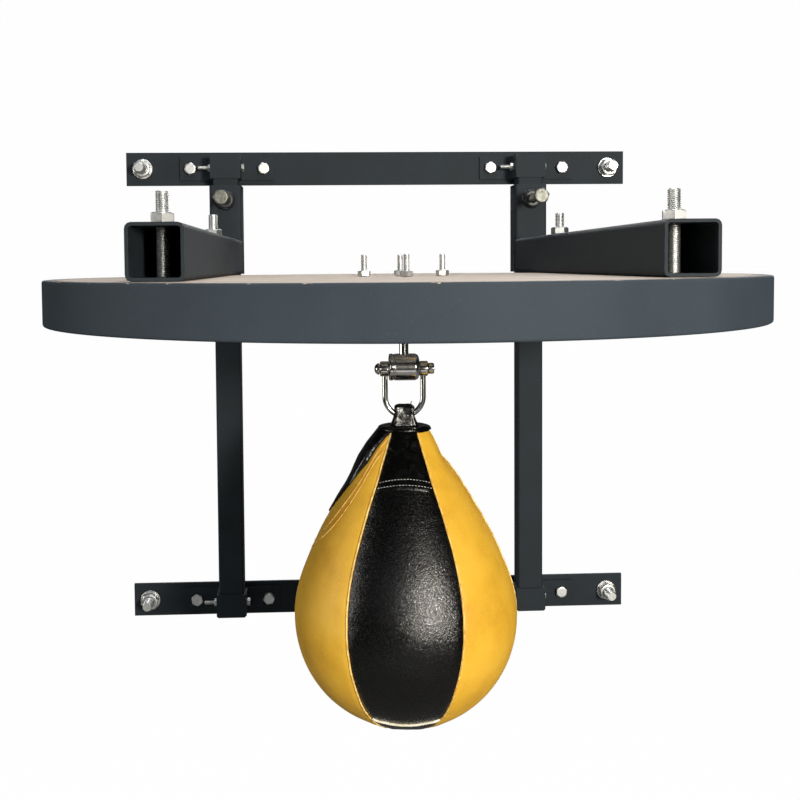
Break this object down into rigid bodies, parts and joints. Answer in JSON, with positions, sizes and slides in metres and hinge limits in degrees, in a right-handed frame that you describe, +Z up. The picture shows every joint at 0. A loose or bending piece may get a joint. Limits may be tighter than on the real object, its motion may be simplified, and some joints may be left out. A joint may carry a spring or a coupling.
{
  "type": "speed bag platform",
  "caption": "Wall mounted round board on a height adjustable tube frame, with a leather speed bag hung from a chrome swivel and shackle under it.",
  "frame": {"origin": "middle of the top rail's back face, on the wall plane", "axes": "+X along the wall to the right as seen from the front, +Y into the wall, +Z up"},
  "size_m": [0.61, 0.688, 0.57],
  "materials": {
    "powder_coat": "charcoal powder coat on steel, fine satin texture",
    "zinc": "bright zinc plated steel fasteners",
    "chrome": "polished chrome on the swivel",
    "black_steel": "black painted weld nut with weld beads",
    "board_paint": "slate paint on the rim and underside, bare sanded wood on top",
    "black_leather": "black grained leather",
    "gold_leather": "mustard gold leather panels with black panels and pale piping",
    "rubber": "matt black butyl rubber"
  },
  "bodies": {
    "wall_frame": {"top_rail": "powder_coat", "bottom_rail": "powder_coat", "left_post": "powder_coat", "right_post": "powder_coat", "top_left_clamp": "powder_coat", "top_right_clamp": "powder_coat", "bottom_left_clamp": "powder_coat", "bottom_right_clamp": "powder_coat", "clamp_bolt_top_left_a": "zinc", "clamp_bolt_top_left_b": "zinc", "clamp_bolt_top_right_a": "zinc", "clamp_bolt_top_right_b": "zinc", "clamp_bolt_bottom_left_a": "zinc", "clamp_bolt_bottom_left_b": "zinc", "clamp_bolt_bottom_right_a": "zinc", "clamp_bolt_bottom_right_b": "zinc", "cross_screw_top_left": "zinc", "cross_screw_top_right": "zinc", "cross_screw_bottom_left": "zinc", "cross_screw_bottom_right": "zinc", "cross_nut_top_left": "zinc", "cross_nut_top_right": "zinc", "cross_nut_bottom_left": "zinc", "cross_nut_bottom_right": "zinc", "wall_anchor_top_left": "zinc", "wall_anchor_top_right": "zinc", "wall_anchor_bottom_left": "zinc", "wall_anchor_bottom_right": "zinc"},
    "carriage": {"left_sleeve": "powder_coat", "right_sleeve": "powder_coat", "left_arm": "powder_coat", "right_arm": "powder_coat", "board": "board_paint", "left_lock_nut": "black_steel", "right_lock_nut": "black_steel", "arm_bolt_left_front": "zinc", "arm_bolt_left_rear": "zinc", "arm_bolt_right_front": "zinc", "arm_bolt_right_rear": "zinc", "arm_nut_left_front": "zinc", "arm_nut_left_rear": "zinc", "arm_nut_right_front": "zinc", "arm_nut_right_rear": "zinc", "swivel_plate": "chrome", "swivel_bolt_right": "zinc", "swivel_bolt_rear": "zinc", "swivel_bolt_left": "zinc", "swivel_bolt_front": "zinc", "swivel_nut_right": "zinc", "swivel_nut_rear": "zinc", "swivel_nut_left": "zinc", "swivel_nut_front": "zinc"},
    "left_lock": {"left_lock_bolt": "zinc"},
    "right_lock": {"right_lock_bolt": "zinc"},
    "swivel": {"swivel_barrel": "chrome", "swivel_pin": "chrome"},
    "shackle": {"shackle": "chrome"},
    "bag": {"bag_cover": "gold_leather", "bladder": "rubber", "bag_loop": "black_leather"}
  },
  "joints": [
    {"name": "height_slide", "type": "slide", "parent": "wall_frame", "child": "carriage", "axis": [0, 0, 1], "range_m": [-0.38, 0]},
    {"name": "left_lock_slide", "type": "slide", "parent": "carriage", "child": "left_lock", "axis": [0, -1, 0], "range_m": [0, 0.008]},
    {"name": "right_lock_slide", "type": "slide", "parent": "carriage", "child": "right_lock", "axis": [0, -1, 0], "range_m": [0, 0.008]},
    {"name": "swivel_spin", "type": "hinge", "parent": "carriage", "child": "swivel", "pos_m": [0, -0.388, -0.2], "axis": [0, 0, 1], "continuous": true},
    {"name": "shackle_swing", "type": "hinge", "parent": "swivel", "child": "shackle", "pos_m": [0, -0.388, -0.2083], "axis": [1, 0, 0], "range_deg": [-74, 74]},
    {"name": "bag_swing", "type": "hinge", "parent": "shackle", "child": "bag", "pos_m": [0, -0.388, -0.2328], "axis": [0, 1, 0], "range_deg": [-25, 25]}
  ]
}
